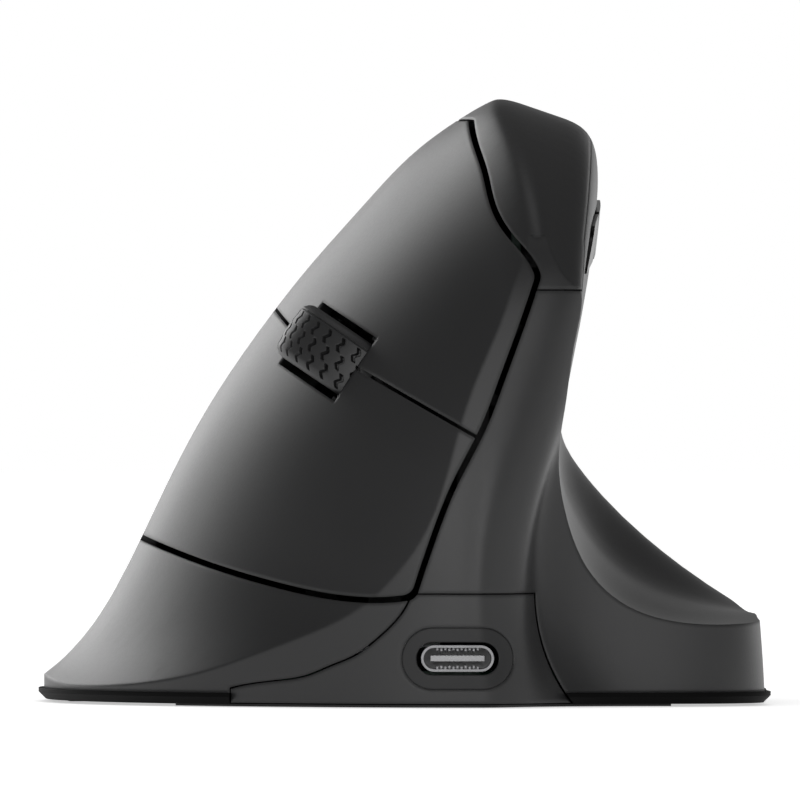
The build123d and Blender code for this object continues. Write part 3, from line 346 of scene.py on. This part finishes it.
# Case screws with a six-lobed recess in each head
SCREW_PLACES = ((37.0, -21.93), (-35.0, -6.93), (35.0, 28.07), (-27.0, 35.07))
SCREW_SEGMENTS = 72
HEAD_RADIUS = 1.9 * MM
HEAD_EDGE = 0.12 * MM
HEAD_TOP = 1.0 * MM
SHANK_RADIUS = 1.0 * MM
POINT_LENGTH = 0.5 * MM
POINT_SHARE = 0.6
RECESS_RADIUS = 0.92 * MM
RECESS_DEPTH = 0.40 * MM
LOBES = 6
LOBE_REACH = 0.17 * MM
screw_low, screw_high = (Vector(corner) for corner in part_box("case_screws"))
# Each ring's radius, lobe and height
SCREW_RINGS = (
    (RECESS_RADIUS, LOBE_REACH, screw_low.z + RECESS_DEPTH),
    (RECESS_RADIUS, LOBE_REACH, screw_low.z),
    (HEAD_RADIUS - HEAD_EDGE, 0.0, screw_low.z),
    (HEAD_RADIUS, 0.0, screw_low.z + HEAD_EDGE),
    (HEAD_RADIUS, 0.0, HEAD_TOP),
    (SHANK_RADIUS, 0.0, HEAD_TOP),
    (SHANK_RADIUS, 0.0, screw_high.z - POINT_LENGTH),
    (SHANK_RADIUS * POINT_SHARE, 0.0, screw_high.z),
)


def screw_ring(build, centre, radius, lobe):
    """Points round a screw's axis, drawn out to six lobes where lobe isn't zero."""
    ring = []
    for k in range(SCREW_SEGMENTS):
        angle = 2 * math.pi * k / SCREW_SEGMENTS
        reach = radius + lobe * math.cos(LOBES * angle)
        spoke = Vector((math.cos(angle), math.sin(angle), 0.0)) * reach
        ring.append(build.verts.new(centre + spoke))
    return ring


def make_screws():
    """All case screws, each from the floor of its recess over the head and down to its point."""
    build = bmesh.new()
    for x, y in SCREW_PLACES:
        rings = [
            screw_ring(build, Vector((x * MM, y * MM, z)), radius, lobe)
            for radius, lobe, z in SCREW_RINGS
        ]
        for one, other in zip(rings, rings[1:]):
            bridge(build, one, other)
        build.faces.new(rings[0])
        build.faces.new(rings[-1])
    bmesh.ops.recalc_face_normals(build, faces=build.faces)
    piece = add_piece("screws_dressed", build, "steel", "case")
    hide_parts("case_screws")


make_screws()

# Foam strip behind the rear seam, so that no light comes through it
STRIP_LOW = Vector((12.9, 52.3, 4.0)) * MM
STRIP_HIGH = Vector((14.5, 53.7, 15.2)) * MM
build = bmesh.new()
add_box(build, (STRIP_LOW + STRIP_HIGH) / 2, STRIP_HIGH - STRIP_LOW)
add_piece("seam_strip", build, "inner_plastic", "case")


def seen_rays(tree):
    """1 for the rays that show a surface: straight to the camera, mirrored or through glass."""
    path = tree.nodes.new("ShaderNodeLightPath")
    total = path.outputs["Is Camera Ray"]
    for name in ("Is Glossy Ray", "Is Transmission Ray"):
        add = tree.nodes.new("ShaderNodeMath")
        add.operation = "ADD"
        add.use_clamp = True
        tree.links.new(total, add.inputs[0])
        tree.links.new(path.outputs[name], add.inputs[1])
        total = add.outputs["Value"]
    return total


# Plain floor, a hair below the skates
FLOOR_SIZE = 16.0
FLOOR_DROP = 0.05 * MM
FLOOR_TONE = 0.82
FLOOR_ROUGHNESS = 0.8
FLOOR_GLOW = 0.52
bpy.ops.mesh.primitive_plane_add(size=FLOOR_SIZE, location=(0, 0, -FLOOR_DROP))
floor = bpy.context.object
floor.name = "floor"
floor_material, floor_tree, floor_shader = new_material("floor_pale")
floor_shader.inputs["Base Color"].default_value = (FLOOR_TONE, FLOOR_TONE, FLOOR_TONE, 1.0)
floor_shader.inputs["Roughness"].default_value = FLOOR_ROUGHNESS
floor_shader.inputs["Specular IOR Level"].default_value = 0.0
floor_shader.inputs["Emission Color"].default_value = (1.0, 1.0, 1.0, 1.0)
floor_glow = floor_tree.nodes.new("ShaderNodeMath")
floor_glow.operation = "MULTIPLY"
floor_glow.inputs[1].default_value = FLOOR_GLOW
floor_tree.links.new(seen_rays(floor_tree), floor_glow.inputs[0])
floor_tree.links.new(floor_glow.outputs["Value"], floor_shader.inputs["Emission Strength"])
floor.data.materials.append(floor_material)

# World: white behind the object and all round, dim overhead, soft grey for its diffuse light
WHITE_TO = 0.04
DIM_FROM = 0.34
DIM_STRENGTH = 0.10
DIFFUSE_STRENGTH = 0.60
world = bpy.data.worlds.new("studio")
bpy.context.scene.world = world
world.use_nodes = True
nodes, links = world.node_tree.nodes, world.node_tree.links
background = nodes["Background"]
background.inputs["Color"].default_value = (1.0, 1.0, 1.0, 1.0)
direction = nodes.new("ShaderNodeTexCoord")
axes = nodes.new("ShaderNodeSeparateXYZ")
links.new(direction.outputs["Generated"], axes.inputs["Vector"])
overhead = nodes.new("ShaderNodeMapRange")
overhead.interpolation_type = "SMOOTHSTEP"
overhead.inputs["From Min"].default_value = WHITE_TO
overhead.inputs["From Max"].default_value = DIM_FROM
overhead.inputs["To Min"].default_value = 1.0
overhead.inputs["To Max"].default_value = DIM_STRENGTH
links.new(axes.outputs["Z"], overhead.inputs["Value"])
strength = nodes.new("ShaderNodeMix")
strength.inputs["A"].default_value = DIFFUSE_STRENGTH
links.new(seen_rays(world.node_tree), strength.inputs["Factor"])
links.new(overhead.outputs["Result"], strength.inputs["B"])
links.new(strength.outputs["Result"], background.inputs["Strength"])


# Lamps: place and size in metres, power in watts
LAMP_AIM = Vector((0.0, 0.0, 30.0)) * MM


def lamp(name, place, size, power):
    """A soft rectangular lamp turned to the object."""
    data = bpy.data.lights.new(name, "AREA")
    data.shape = "RECTANGLE"
    data.size, data.size_y = size
    data.energy = power
    piece = bpy.data.objects.new(name, data)
    bpy.context.scene.collection.objects.link(piece)
    piece.location = place
    piece.rotation_euler = (LAMP_AIM - Vector(place)).to_track_quat("-Z", "Y").to_euler()


lamp("key_left", (-0.60, 1.25, 0.48), (0.5, 0.6), 3.4)
lamp("fill_front", (-0.10, -1.20, 0.32), (0.7, 0.5), 3.6)
lamp("rim_right", (0.90, 0.80, 0.35), (0.4, 0.6), 0.1)
lamp("top", (0.0, 0.10, 0.90), (0.5, 0.5), 0.5)

# Camera: level with the object, from the nose end, far off with a long lens
PICTURE = 800
PIXEL = 0.1264 * MM
# The part's origin, in pixels from the picture's top left corner
ORIGIN_COLUMN = 400.9
ORIGIN_ROW = 701.1
LENS = 900.0
SENSOR = 36.0
CLIP_END = 50.0
DISTANCE = PICTURE * PIXEL * LENS / SENSOR
camera_data = bpy.data.cameras.new("camera")
camera_data.lens = LENS
camera_data.sensor_width = SENSOR
camera_data.clip_end = CLIP_END
camera = bpy.data.objects.new("camera", camera_data)
bpy.context.scene.collection.objects.link(camera)
camera.location = (
    (PICTURE / 2 - ORIGIN_COLUMN) * PIXEL,
    -DISTANCE,
    (ORIGIN_ROW - PICTURE / 2) * PIXEL,
)
camera.rotation_euler = (math.radians(90), 0.0, 0.0)
bpy.context.scene.camera = camera
bpy.context.scene.view_settings.view_transform = "Standard"
